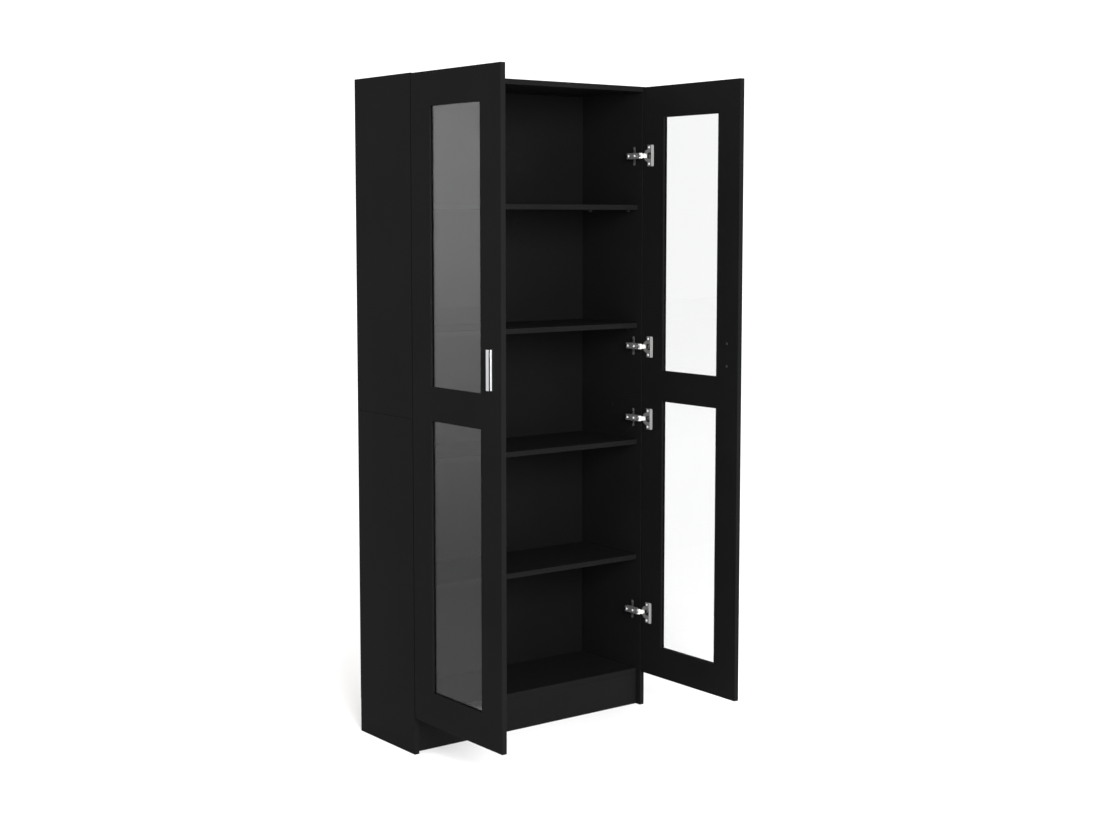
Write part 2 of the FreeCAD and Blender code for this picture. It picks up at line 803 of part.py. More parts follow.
# Boards and fasteners that cross the middle
cross_holes = carcass_holes + [mirrored(hole) for hole in carcass_holes] + nail_holes
nodes["top_panel"] = drilled(top_board(), cross_holes)
nodes["bottom_panel"] = drilled(floor_board(), cross_holes)
nodes["plinth"] = drilled(plinth_board(), cross_holes)
for number in range(shelf_count):
    shelf = shelf_board(number)
    nodes[f"shelf_{number + 1}"] = drilled(shelf, cross_holes) if number == fixed_shelf else shelf
sheet_lower, sheet_upper = back_sheets()
nodes["back_sheet_lower"] = drilled(sheet_lower, nail_holes)
nodes["back_sheet_upper"] = drilled(sheet_upper, nail_holes)


def both_sides(shapes):
    return Part.makeCompound(shapes + [mirrored(shape) for shape in shapes])


nodes["dowels"] = both_sides([dowel for dowel, hole in dowel_pairs])
nodes["cam_locks"] = both_sides([cam for cam, bolt, holes in cam_fittings])
nodes["cam_bolts"] = both_sides([bolt for cam, bolt, holes in cam_fittings])
nodes["shelf_pins"] = both_sides(shelf_pins)
nodes["back_nails"] = Part.makeCompound(nails)

os.makedirs("parts", exist_ok=True)
for name, shape in nodes.items():
    shape.exportStep(os.path.join("parts", f"{name}.step"))
    print(name, len(shape.Solids), "solids", round(shape.Volume), "mm3")
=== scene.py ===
# %% [markdown]
# # A black bookcase with two glazed doors
#
# The bookcase is already drawn to size as a set of solids: boards, doors, panes, hinges
# and fasteners. This lesson gives every one of them a finish, models the small metal
# fittings again with rounder forms, and sets up the floor, the light and the camera.
# The first step loads the solids as a fixed frame.

# %% Load the solids
import json
import math

import bpy
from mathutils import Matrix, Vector


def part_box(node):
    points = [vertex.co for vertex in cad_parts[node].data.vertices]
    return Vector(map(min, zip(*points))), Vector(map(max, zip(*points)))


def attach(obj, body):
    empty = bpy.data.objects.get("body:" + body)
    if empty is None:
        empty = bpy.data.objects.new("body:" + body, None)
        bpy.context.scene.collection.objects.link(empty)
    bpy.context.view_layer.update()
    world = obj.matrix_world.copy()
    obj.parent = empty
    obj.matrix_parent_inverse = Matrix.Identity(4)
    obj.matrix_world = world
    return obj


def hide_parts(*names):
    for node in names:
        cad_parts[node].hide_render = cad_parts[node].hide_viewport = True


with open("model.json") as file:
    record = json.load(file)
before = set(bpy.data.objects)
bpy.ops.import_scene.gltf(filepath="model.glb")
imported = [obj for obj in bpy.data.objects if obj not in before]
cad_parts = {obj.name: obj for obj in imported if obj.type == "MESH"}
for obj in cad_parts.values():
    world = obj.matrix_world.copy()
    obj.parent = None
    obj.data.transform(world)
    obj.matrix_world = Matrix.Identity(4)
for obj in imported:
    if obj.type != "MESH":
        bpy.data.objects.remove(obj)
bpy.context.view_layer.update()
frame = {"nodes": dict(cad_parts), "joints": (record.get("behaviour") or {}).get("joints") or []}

mm = 0.001

# %% [markdown]
# ## A small language for finishes
#
# A finish is a chain of nodes, and most of it is arithmetic on numbers. It could be wired
# by hand, one node at a time, but a long chain is hard to read that way. Here one class
# wraps a socket and takes plain Python operators, so that `1 - mask` adds its Math node,
# and another class holds the material and adds every other kind of node.


# %% The socket wrapper
class Value:
    """A socket of a finish, with arithmetic on it."""

    def __init__(self, finish, socket):
        self.finish, self.socket = finish, socket

    def maths(self, operation, first, second):
        return self.finish.node("ShaderNodeMath", {"operation": operation}, {0: first, 1: second})

    def __add__(self, other):
        return self.maths("ADD", self, other)

    def __sub__(self, other):
        return self.maths("SUBTRACT", self, other)

    def __rsub__(self, other):
        return self.maths("SUBTRACT", other, self)

    def __mul__(self, other):
        return self.maths("MULTIPLY", self, other)

    def __pow__(self, other):
        return self.maths("POWER", self, other)

    def __gt__(self, other):
        return self.maths("GREATER_THAN", self, other)

    __radd__, __rmul__ = __add__, __mul__


# %% The finish
class Finish:
    """A procedural material on Object coordinates."""

    def __init__(self, name, constants):
        self.material = bpy.data.materials.new(name)
        self.material.use_nodes = True
        self.tree = self.material.node_tree
        self.shader = self.tree.nodes["Principled BSDF"]
        for socket, value in constants.items():
            self.shader.inputs[socket].default_value = value
        self.place = self.node("ShaderNodeTexCoord", {}, {}, "Object")

    def node(self, kind, settings, sockets, output=0):
        made = self.tree.nodes.new(kind)
        for name, value in settings.items():
            setattr(made, name, value)
        for name, value in sockets.items():
            self.put(made.inputs[name], value)
        return Value(self, made.outputs[output])

    def put(self, socket, value):
        if isinstance(value, Value):
            self.tree.links.new(value.socket, socket)
        else:
            socket.default_value = value

    def feed(self, sockets):
        for name, value in sockets.items():
            self.put(self.shader.inputs[name], value)
        print("finish:", self.material.name, "nodes:", len(self.tree.nodes))
        return self.material

    def grain(self, scale, detail=2.0, stretch=(1, 1, 1)):
        """Cloudy noise, from 0 to 1, with features of about 1 / scale metres."""
        place = self.node("ShaderNodeMapping", {}, {"Vector": self.place, "Scale": stretch})
        sockets = {"Vector": place, "Scale": scale, "Detail": detail}
        return self.node("ShaderNodeTexNoise", {}, sockets, "Fac")

    def blend(self, mask, first, second):
        sockets = {0: mask, 6: (*first, 1) if isinstance(first, tuple) else first,
                   7: (*second, 1) if isinstance(second, tuple) else second}
        return self.node("ShaderNodeMix", {"data_type": "RGBA"}, sockets, 2)

    def bump(self, height, distance, strength):
        sockets = {"Height": height, "Distance": distance, "Strength": strength}
        return self.node("ShaderNodeBump", {}, sockets, "Normal")

    def along(self, axis):
        """The place along one axis, in metres."""
        return self.node("ShaderNodeSeparateXYZ", {}, {"Vector": self.place}, axis)


# %% [markdown]
# ## Black board
#
# The boards are chipboard with a black melamine film, which is satin rather than glossy
# and has a fine pressed texture. A flat black would look like a hole in the picture. The
# base stays near black and drifts a little, the roughness drifts with it, and a very fine
# bump breaks up the reflections as the pressed film does.

# %% The board finish
BLACK_DEEP, BLACK_WORN = (0.0038, 0.0038, 0.0039), (0.0065, 0.0065, 0.0065)


def black_film(name, roughness, grain_height):
    film = Finish(name, {"Specular IOR Level": 0.0095})
    drift = film.grain(5.0, detail=4.0)
    pressed = film.grain(1500.0, detail=3.0)
    fibre = film.grain(420.0, stretch=(1, 1, 0.06))
    colour = film.blend(drift * 0.7 + pressed * 0.3, BLACK_DEEP, BLACK_WORN)
    rough = drift * 0.08 + pressed * 0.10 + (roughness - 0.09)
    normal = film.bump(pressed * 0.7 + fibre * 0.3, grain_height, strength=0.25)
    return film.feed({"Base Color": colour, "Roughness": rough, "Normal": normal})


black_board = black_film("black_board", roughness=0.46, grain_height=0.12 * mm)
black_bead = black_film("black_bead", roughness=0.38, grain_height=0.06 * mm)

# %% [markdown]
# ## The back sheets
#
# A back of this kind is thin hardboard with one painted face. The painted face looks into
# the compartments, and the raw face is brown and felted. The painted face is black, and is
# also made darker than the black boards: painted shade at the back of the compartments.
# One finish does both: a mask on the place along Y tells the rear face from the rest of the sheet.

# %% The back finish
back_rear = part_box("back_sheet_lower")[1].y
HARDBOARD_DARK, HARDBOARD_PALE = (0.085, 0.045, 0.022), (0.155, 0.088, 0.045)
# The painted face runs from this deeper black up to the board black: black paint, with painted
# shade that keeps the back of the compartments darker than the boards.
PAINT_AND_SHADE_DEEP, RAW_SKIN = (0.0021, 0.0021, 0.0022), 0.2 * mm


def hardboard():
    sheet = Finish("back_board", {"Specular IOR Level": 0.03})
    raw = sheet.along("Y") > back_rear - RAW_SKIN
    drift = sheet.grain(7.0, detail=4.0)
    felt = sheet.grain(380.0, detail=5.0, stretch=(1, 1, 0.5))
    brown = sheet.blend(drift * 0.4 + felt * 0.6, HARDBOARD_DARK, HARDBOARD_PALE)
    # The painted face: black paint, darkened below the boards as painted shade.
    paint_and_shade = sheet.blend(drift * 0.5 + felt * 0.5, PAINT_AND_SHADE_DEEP, BLACK_DEEP)
    rough = raw * 0.28 + felt * 0.12 + 0.42
    normal = sheet.bump(felt, distance=0.2 * mm, strength=0.3)
    return sheet.feed({"Base Color": sheet.blend(raw, paint_and_shade, brown), "Roughness": rough,
                       "Normal": normal})


back_board = hardboard()

# %% [markdown]
# ## Glass
#
# The panes are clear float glass, 4 mm thick. Glass has almost no colour of its own: what
# makes it visible is the reflection, which is strong at a glancing angle. Transmission and
# the index of refraction do that. The tint is deeper than that of real float glass, and was
# matched to the picture. A trace of wipe marks in the roughness keeps the reflection
# from looking like a mirror in a computer picture.

# %% The glass finish
GLASS_CLEAR, GLASS_TINT = (0.795, 0.80, 0.798), (0.78, 0.79, 0.785)


def float_glass():
    pane = Finish("clear_glass", {"Transmission Weight": 1.0, "IOR": 1.52})
    wipe = pane.grain(14.0, detail=3.0, stretch=(1, 1, 0.35))
    return pane.feed({"Base Color": pane.blend(wipe, GLASS_CLEAR, GLASS_TINT),
                      "Roughness": wipe ** 3 * 0.02})


clear_glass = float_glass()

# %% [markdown]
# ## Metals
#
# The bookcase has chromed handles, plated hinge sheet, grey cast hinge arms, dark mounting
# plates, blackened pins and fixings, bright screws and zinc cams. They differ only in colour,
# in how far they scatter a reflection, and in the scale of their grain, so one function makes
# nearly all of them. Grain stretched along one axis reads as drawn or brushed metal. The cup
# has a function of its own, which paints light and shade into the colour of its one sheet:
# painted shade that turns the pocket black, painted shade on the flat of the plate, and a
# painted highlight on the fold.

# %% The metal finishes
EVEN, DRAWN, BRUSHED = (1, 1, 1), (1, 1, 0.3), (1, 1, 0.05)
# The pocket of the cup is painted black from its rim down: painted shade, where little light gets
# in.
POCKET_RIM, POCKET_SHADE_FULL, FOLD_LINE = 397.8 * mm, 400.0 * mm, 67.3 * mm
# The flat of the cup's plate gets a darker colour (painted shade) and its sloping fold a paler one
# (painted highlight), though both are the same plated sheet.
SHADED_PLATE_DARK, SHADED_PLATE_PALE = (0.12, 0.12, 0.12), (0.17, 0.17, 0.168)
LIT_FOLD_DARK, LIT_FOLD_PALE, POCKET_PAINTED_SHADE = (0.34, 0.34, 0.335), (0.42, 0.42, 0.41), (0.02,) * 3


def metal(name, dark, pale, roughness, grain_scale, stretch, height, metallic=1.0):
    sheet = Finish(name, {"Metallic": metallic})
    drift = sheet.grain(60.0, detail=3.0)
    grain = sheet.grain(grain_scale, detail=3.0, stretch=stretch)
    colour = sheet.blend(drift * 0.5 + grain * 0.5, dark, pale)
    rough = grain * 0.10 + drift * 0.06 + (roughness - 0.08)
    return sheet.feed({"Base Color": colour, "Roughness": rough,
                       "Normal": sheet.bump(grain, height, strength=0.2)})


def cup_metal_painted_light():
    """The plated sheet again, with light and shade painted into its colour: painted shade that
    turns it black down in the pocket, where little light gets to it, painted shade on the flat of
    the plate, and a painted highlight on the fold.
    """
    sheet = Finish("cup_steel_painted_light", {"Metallic": 0.35})
    grain = sheet.grain(1200.0, detail=3.0, stretch=DRAWN)
    # How far down the pocket a point lies; this sets the painted shade in the cup's colour.
    depth = sheet.node("ShaderNodeMath", {"operation": "ABSOLUTE"}, {0: sheet.along("X")})
    inside = sheet.node("ShaderNodeMapRange", {},
                        {"Value": depth, "From Min": POCKET_RIM, "From Max": POCKET_SHADE_FULL})
    # Painted highlight on the fold and painted shade on the flat of the plate, split at the fold
    # line.
    fold = sheet.along("Y") * -1 > FOLD_LINE
    shaded_plate = sheet.blend(grain, SHADED_PLATE_DARK, SHADED_PLATE_PALE)
    lit_fold = sheet.blend(grain, LIT_FOLD_DARK, LIT_FOLD_PALE)
    colour = sheet.blend(inside, sheet.blend(fold, shaded_plate, lit_fold), POCKET_PAINTED_SHADE)
    return sheet.feed({"Base Color": colour, "Roughness": grain * 0.10 + inside * 0.2 + 0.18,
                       "Normal": sheet.bump(grain, distance=0.02 * mm, strength=0.2)})


chrome = metal("chrome", (0.66, 0.67, 0.69), (0.74, 0.75, 0.77), roughness=0.10,
               grain_scale=900.0, stretch=BRUSHED, height=0.004 * mm)
plated_steel = metal("plated_steel", (0.70, 0.69, 0.67), (0.82, 0.81, 0.79), roughness=0.30,
                     grain_scale=1200.0, stretch=DRAWN, height=0.02 * mm, metallic=0.35)
cup_steel_painted_light = cup_metal_painted_light()
grey_casting = metal("grey_casting", (0.085, 0.085, 0.088), (0.13, 0.13, 0.133), roughness=0.48,
                     grain_scale=1800.0, stretch=EVEN, height=0.06 * mm, metallic=0.4)
plate_steel = metal("plate_steel", (0.05, 0.05, 0.051), (0.08, 0.08, 0.08), roughness=0.40,
                    grain_scale=1200.0, stretch=DRAWN, height=0.02 * mm, metallic=0.4)
blackened = metal("blackened_steel", (0.010, 0.010, 0.010), (0.020, 0.020, 0.020), roughness=0.50,
                  grain_scale=1500.0, stretch=EVEN, height=0.02 * mm, metallic=0.4)
steel = metal("steel", (0.72, 0.72, 0.72), (0.84, 0.84, 0.83), roughness=0.26,
              grain_scale=1500.0, stretch=EVEN, height=0.02 * mm, metallic=0.45)
zinc = metal("zinc", (0.42, 0.43, 0.45), (0.58, 0.59, 0.61), roughness=0.36,
             grain_scale=700.0, stretch=EVEN, height=0.05 * mm)

# %% [markdown]
# ## Beech
#
# The dowels are turned beech: pale, with short darker flecks along the grain. They sit
# inside the boards, and still get a finish of their own, because a section through the
# model shows them.

# %% The beech finish
BEECH_PALE, BEECH_FLECK = (0.52, 0.36, 0.22), (0.34, 0.21, 0.12)


def turned_beech():
    wood = Finish("beech", {"Specular IOR Level": 0.3})
    flecks = wood.grain(900.0, detail=4.0, stretch=(0.15, 1, 1))
    rings = wood.grain(160.0, stretch=(0.1, 1, 1))
    colour = wood.blend(flecks * 0.6 + rings * 0.4, BEECH_PALE, BEECH_FLECK)
    return wood.feed({"Base Color": colour, "Roughness": flecks * 0.15 + 0.5,
                      "Normal": wood.bump(flecks, distance=0.05 * mm, strength=0.3)})


beech = turned_beech()

# %% [markdown]
# ## Dress the solids
#
# Each solid carries the name of its finish from the drawing. Its own material slot takes
# the finish of that name, so every solid is dressed whether or not a finer piece later
# stands in for it.

# %% Give every solid its finish
finishes = {"black_board": black_board, "back_board": back_board, "black_bead": black_bead,
            "clear_glass": clear_glass, "chrome": chrome, "plated_steel": plated_steel,
            "grey_casting": grey_casting, "steel": steel, "zinc": zinc, "beech": beech}
for solid in frame["nodes"].values():
    for number, drawn in enumerate(solid.data.materials):
        solid.data.materials[number] = finishes[drawn.name.split(".")[0]]
print("dressed:", len(frame["nodes"]))

# %% [markdown]
# ## Modelling by hand, in code
#
# The fittings are modelled as one would at the screen: a primitive is added at its size and
# place, shaped in edit mode, joined to others or cut by them, and its edges are rounded at
# the end. The helpers below do those moves. Each one first selects only what it works on,
# because an operator acts on everything that is selected. Their lengths are in millimetres.


# %% Select and settle
def only(piece):
    """Select one piece and make it the active one."""
    bpy.ops.object.select_all(action="DESELECT")
    piece.select_set(True)
    bpy.context.view_layer.objects.active = piece


def settle(piece, name):
    """Put a piece's place, turn and scale into its mesh."""
    piece.name = name
    only(piece)
    bpy.ops.object.transform_apply(location=True, rotation=True, scale=True)
    return piece


# %% Edit mode
def pick(piece, kind, test):
    """Go into edit mode with only the vertices, edges or faces selected that pass a test."""
    only(piece)
    mesh = piece.data
    groups = {"VERT": mesh.vertices, "EDGE": mesh.edges, "FACE": mesh.polygons}
    for group in groups.values():
        group.foreach_set("select", [False] * len(group))
    for item in groups[kind]:
        item.select = test(item)
    bpy.context.tool_settings.mesh_select_mode = [kind == word for word in groups]
    bpy.ops.object.mode_set(mode="EDIT")


def done():
    bpy.ops.object.mode_set(mode="OBJECT")


# %% Blanks
def block(name, low, high):
    low, high = Vector(low) * mm, Vector(high) * mm
    bpy.ops.object.select_all(action="DESELECT")
    bpy.ops.mesh.primitive_cube_add(size=1.0, location=(low + high) / 2)
    bpy.context.object.scale = high - low
    return settle(bpy.context.object, name)


def drum(name, radius, start, axis, length, sides=40):
    start, axis = Vector(start) * mm, Vector(axis)
    bpy.ops.object.select_all(action="DESELECT")
    bpy.ops.mesh.primitive_cylinder_add(vertices=sides, radius=radius * mm, depth=length * mm,
                                        location=start + axis * (length * mm / 2),
                                        rotation=axis.to_track_quat("Z", "Y").to_euler())
    return settle(bpy.context.object, name)


def flat_bar(name, start, start_radius, end, end_radius, half_width):
    """A bar with two round ends: a disc is drawn out to the other end, then extruded."""
    start, end = Vector((*start, 0)) * mm, Vector((*end, 0)) * mm
    run = end - start
    centre = start - Vector((0, 0, half_width * mm))
    bpy.ops.object.select_all(action="DESELECT")
    bpy.ops.mesh.primitive_circle_add(vertices=36, radius=start_radius * mm, fill_type="NGON",
                                      location=centre)
    bar = settle(bpy.context.object, name)
    pick(bar, "VERT", lambda corner: (corner.co - start).dot(run) > 0)
    growth = end_radius / start_radius
    bpy.ops.transform.resize(value=(growth, growth, 1), center_override=centre)
    bpy.ops.transform.translate(value=run)
    done()
    pick(bar, "FACE", lambda face: True)
    bpy.ops.mesh.extrude_region_move(TRANSFORM_OT_translate={"value": (0, 0, 2 * half_width * mm)})
    bpy.ops.mesh.select_all(action="SELECT")
    bpy.ops.mesh.normals_make_consistent(inside=False)
    done()
    return bar


# %% Join, cut and round
def combine(piece, other, operation):
    """Join another solid to a piece, or cut the piece with it."""
    modifier = piece.modifiers.new("combine", "BOOLEAN")
    modifier.operation, modifier.object, modifier.solver = operation, other, "EXACT"
    only(piece)
    bpy.ops.object.modifier_apply(modifier=modifier.name)
    bpy.data.objects.remove(other)
    return piece


def rounded(piece, width, segments=2):
    """Round the sharp edges, and shade the rest smooth."""
    modifier = piece.modifiers.new("rounded", "BEVEL")
    modifier.width, modifier.segments = width * mm, segments
    modifier.limit_method, modifier.angle_limit = "ANGLE", math.radians(32)
    only(piece)
    bpy.ops.object.modifier_apply(modifier=modifier.name)
    bpy.ops.object.shade_smooth_by_angle(angle=math.radians(36))
    return piece


# %% [markdown]
# ## From one master to every place
#
# Every hinge has the same pieces, and the bookcase has eight hinges. Each piece is modelled
# once, for a hinge on the left at height zero. It is then copied to its places, and the
# copies of one side are joined into one piece that moves with one body. For the right side
# the copies are mirrored, which can turn a mesh inside out, so its normals are made again.
# Weighted normals then keep the flat faces flat, and leave the shading to the round edges.

# %% Copies
hinge_heights = (289.895, 875.995, 1091.065, 1653.55)
both_hands = (("left", 1), ("right", -1))


def spread(master, places, name, body, node, finish, hands=both_hands):
    for hand, way in hands:
        parts = []
        for x, y, z in places:
            only(master)
            bpy.ops.object.duplicate(linked=False)
            part = bpy.context.object
            part.location, part.scale = Vector((way * x, y, z)) * mm, (way, 1, 1)
            parts.append(settle(part, f"{hand}_{name}"))
        bpy.ops.object.select_all(action="DESELECT")
        for part in parts:
            part.select_set(True)
        bpy.context.view_layer.objects.active = parts[0]
        bpy.ops.object.join()
        piece = bpy.context.object
        piece.name = f"{hand}_{name}"
        pick(piece, "FACE", lambda face: True)
        bpy.ops.mesh.normals_make_consistent(inside=False)
        done()
        flats = piece.modifiers.new("flats", "WEIGHTED_NORMAL")
        flats.keep_sharp = True
        bpy.ops.object.modifier_apply(modifier=flats.name)
        piece.data.materials.clear()
        piece.data.materials.append(finish)
        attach(piece, body.format(hand=hand))
        if node:
            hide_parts(node.format(hand=hand))
        print("made:", piece.name, "copies:", len(places), "faces:", len(piece.data.polygons))
    bpy.data.objects.remove(master)


at_hinges = [(0, 0, height) for height in hinge_heights]

# %% [markdown]
# ## Places read from the solids
#
# The fittings sit on the boards and turn on the hinge pins, so the faces of the boards are
# read from the solids, and the pins from the joints. The sizes within a hinge are written out
# where each piece is made. A hinge is easier to think of in millimetres than in the frame's
# metres, so what is read is changed to those.


# %% Faces and pins
def corners(node):
    """The lowest and the highest corner of a solid, in millimetres."""
    return [[round(place / mm, 3) for place in corner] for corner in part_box(node)]


board_face, door_face = corners("left_side_upper")[1][0], corners("left_door_panel")[1][0]
back_face = corners("back_sheet_lower")[1][1]
pins = {joint["child"]: [round(place / mm, 3) for place in joint["pos_m"][:2]]
        for joint in frame["joints"]}
arm_pin, cup_pin, inner_pin = pins["left_outer_links"], pins["left_door"], pins["left_inner_links"]
print("faces:", board_face, door_face, back_face, "pins:", arm_pin, cup_pin, inner_pin)

# %% [markdown]
# ## The side boards
#
# Each side is two lengths of board, one on the other, and a fine dark line shows where they
# meet. The line is a shape and not a colour: the two outer edges are eased there, and the
# small groove between them holds a shadow. So each length is a block with a wider bevel on
# that one edge, and a narrow one on all the others.

# %% Side boards
near_outer_face, seam_easing = -410.0, 1.5


def side_master(node, seam_height):
    low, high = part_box(node)
    board = block("side", low / mm, high / mm)

    def seam(edge):
        ends = [board.data.vertices[index].co for index in edge.vertices]
        at_seam = all(abs(end.z - seam_height) < 1 * mm for end in ends)
        return at_seam and all(end.x < near_outer_face * mm for end in ends)

    pick(board, "EDGE", seam)
    bpy.ops.mesh.bevel(offset=seam_easing * mm, segments=3, affect="EDGES")
    done()
    return rounded(board, width=0.5)


seam_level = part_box("left_side_upper")[0].z
for length in ("lower", "upper"):
    spread(side_master(f"left_side_{length}", seam_level), [(0, 0, 0)], f"side_board_{length}",
           "carcass", "{hand}_side_" + length, black_board)

# %% [markdown]
# ## The hinge cup
#
# The cup is a pressed steel bowl let into the door, with a screw plate that is folded along
# its far edge and a pocket that the links swing into. It could be spun from a profile, but
# the pocket and the plate aren't round. So it is put together from round and square blanks
# and then cut. The fold's far edge is lowered, so that it slopes and catches the light.

# %% The screw plate and its fold
plate_near, plate_far, plate_half, plate_round, sheet = -50.3, -76.8, 31.0, 3.2, 1.0
fold_line, fold_height, fold_drop = -round(FOLD_LINE / mm, 3), 1.8, 0.9


def screw_plate(name, near, thickness):
    plate = block(name, (door_face, plate_far, -plate_half),
                  (door_face + thickness, near, plate_half))

    def far_corner(edge):
        ends = [plate.data.vertices[index].co for index in edge.vertices]
        at_far_end = all(end.y < (plate_far + 0.1) * mm for end in ends)
        return at_far_end and abs(ends[0].x - ends[1].x) > 0.1 * mm

    pick(plate, "EDGE", far_corner)
    bpy.ops.mesh.bevel(offset=plate_round * mm, segments=6, affect="EDGES")
    done()
    return plate


def folded_edge():
    fold = screw_plate("fold", fold_line, fold_height)
    half_up, half_along = door_face + fold_height / 2, (plate_far + fold_line) / 2
    pick(fold, "VERT", lambda corner: corner.co.x > half_up * mm and corner.co.y < half_along * mm)
    bpy.ops.transform.translate(value=(-fold_drop * mm, 0, 0))
    done()
    return fold


# %% The cup
overrun = 5.0
cup_y, cup_radius, cup_depth, rim_radius, rim_height, rim_sides = -51.3, 17.3, 11.3, 18.2, 0.8, 56
well_floor, well_top, well_far, well_near = door_face - 10.7, door_face + 4.0, -69.0, -33.0
well_half, mouth_near, mouth_half, bowl_radius = 6.3, -49.3, 9.2, 16.6
stub_start, stub_length, stub_radius = 5.0, 1.6, 1.0


def pocket():
    well = block("well", (well_floor, well_far, -well_half), (well_top, well_near, well_half))
    mouth = block("mouth", (well_floor, well_far, -mouth_half), (well_top, mouth_near, mouth_half))
    combine(well, mouth, "UNION")
    depth = well_top - well_floor + 2 * overrun
    bowl = drum("bowl", bowl_radius, (well_floor - overrun, cup_y, 0), (1, 0, 0), depth, rim_sides)
    return combine(well, bowl, "INTERSECT")


def cup_master():
    cup = drum("cup", cup_radius, (door_face - cup_depth, cup_y, 0), (1, 0, 0),
               cup_depth + sheet, rim_sides)
    rim = drum("rim", rim_radius, (door_face, cup_y, 0), (1, 0, 0), rim_height, rim_sides)
    combine(cup, rim, "UNION")
    combine(cup, screw_plate("plate", plate_near, sheet), "UNION")
    combine(cup, folded_edge(), "UNION")
    combine(cup, pocket(), "DIFFERENCE")
    for side in (-1, 1):
        stub = drum("pin", stub_radius, (*cup_pin, side * stub_start), (0, 0, side), stub_length,
                    sides=20)
        combine(cup, stub, "UNION")
    return rounded(cup, width=0.22)


spread(cup_master(), at_hinges, "cup_bowls", "{hand}_door", "{hand}_hinge_cups",
       cup_steel_painted_light)

# %% [markdown]
# ## The hinge arm
#
# The arm is a grey casting: a channel upside down over its mounting plate, with a rounded
# nose that the links are riveted in and a slot at its rear for the clamp screw. A block and
# a round-ended bar make the outside, two blocks cut the channel, and a bevel gives the soft
# edges of a casting. The rivet heads stand a little proud of its cheeks.

# %% Arm
arm_foot, arm_top, arm_front, arm_rear = -395.1, -383.5, -15.5, 28.5
arm_half, arm_wall, nose_radius = 8.4, 2.0, 3.1
throat_rear, slot_front, slot_half = -19.0, 20.5, 2.3
arm_rivet, inner_rivet, rivet_proud = 1.9, 1.8, 0.4


def arm_master():
    arm = block("arm", (arm_foot, arm_front, -arm_half), (arm_top, arm_rear, arm_half))
    root, root_radius = ((arm_foot + arm_top) / 2, arm_front), (arm_top - arm_foot) / 2
    combine(arm, flat_bar("nose", arm_pin, nose_radius, root, root_radius, arm_half), "UNION")
    inside, roof = arm_half - arm_wall, arm_top - arm_wall
    below, above = arm_foot - overrun, arm_top + overrun
    ahead, behind = arm_pin[1] - nose_radius - overrun, arm_rear + overrun
    for name, low, high in (
            ("channel", (below, throat_rear, -inside), (roof, behind, inside)),
            ("throat", (below, ahead, -inside), (above, throat_rear, inside)),
            ("slot", (roof - overrun, slot_front, -slot_half), (above, behind, slot_half))):
        combine(arm, block(name, low, high), "DIFFERENCE")
    rounded(arm, width=0.6, segments=3)
    for point, radius in ((arm_pin, arm_rivet), (inner_pin, inner_rivet)):
        reach = arm_half + rivet_proud
        rivet = drum("rivet", radius, (*point, -reach), (0, 0, 1), 2 * reach, sides=24)
        combine(arm, rounded(rivet, width=0.3), "UNION")
    return arm


spread(arm_master(), at_hinges, "arm_castings", "carcass", "{hand}_hinge_arms",
       grey_casting)

# %% [markdown]
# ## The mounting plate
#
# A thin plate with two wings is screwed to the side board, and its saddle carries the arm.
# The ends of the wings are rounded by a bevel on their upright edges before the saddle and
# its tongue are joined on.

# %% Mounting plate
wing_sheet, wing_y, wing_half_width, wing_half_length, wing_round = 2.0, 9.5, 4.0, 27.5, 3.6
saddle_height, saddle_front, saddle_rear, saddle_half = 11.9, -0.5, 26.5, 6.3
tongue_front, tongue_lap = -13.0, 1.5


def plate_master():
    wing_top, saddle_top = board_face + wing_sheet, board_face + saddle_height
    plate = block("plate", (board_face, wing_y - wing_half_width, -wing_half_length),
                  (wing_top, wing_y + wing_half_width, wing_half_length))

    def upright_corner(edge):
        ends = [plate.data.vertices[index].co for index in edge.vertices]
        return abs(ends[0].x - ends[1].x) > 1 * mm

    pick(plate, "EDGE", upright_corner)
    bpy.ops.mesh.bevel(offset=wing_round * mm, segments=8, affect="EDGES")
    done()
    for name, front, top, rear in (("saddle", saddle_front, saddle_top, saddle_rear),
                                   ("tongue", tongue_front, wing_top, saddle_front + tongue_lap)):
        blank = block(name, (board_face, front, -saddle_half), (top, rear, saddle_half))
        combine(plate, blank, "UNION")
    return rounded(plate, width=0.3)


spread(plate_master(), at_hinges, "wing_plates", "carcass", "{hand}_hinge_plates",
       plate_steel)

# %% [markdown]
# ## The links
#
# Two links carry the cup: an outer one with two ears and a bright web between them, and a
# narrow inner one behind it. Both are hooked, so each is two round-ended bars joined at the
# neck. The middle of the outer one is cut away to leave its ears, and the web is a small
# block turned to lie along them.

# %% Links
outer_neck, inner_neck, inner_tip = (-393.4, -40.2), (-394.8, -38.9), (-404.40, -37.65)
outer_eye, outer_waist, outer_claw, outer_half, ear_inside = 2.5, 1.6, 1.7, 5.8, 4.5
inner_eye, inner_waist, inner_half, tip_radius, tip_half = 2.3, 1.2, 4.0, 0.6, 6.2
web_half_length, web_half_sheet, web_half_width, web_share, web_lift = 2.2, 0.6, 7.6, 0.43, 1.0


def web_between(start, end):
    """A small plate across the ears, a share of the way along them and a little above."""
    run = Vector(end) - Vector(start)
    middle = Vector(start) + run * web_share + Vector((-run.y, run.x)).normalized() * web_lift
    corner = Vector((web_half_length, web_half_sheet, web_half_width))
    web = block("web", -corner, corner)
    web.rotation_euler = (0, 0, math.atan2(run.y, run.x))
    web.location = Vector((*middle, 0)) * mm
    return settle(web, "web")


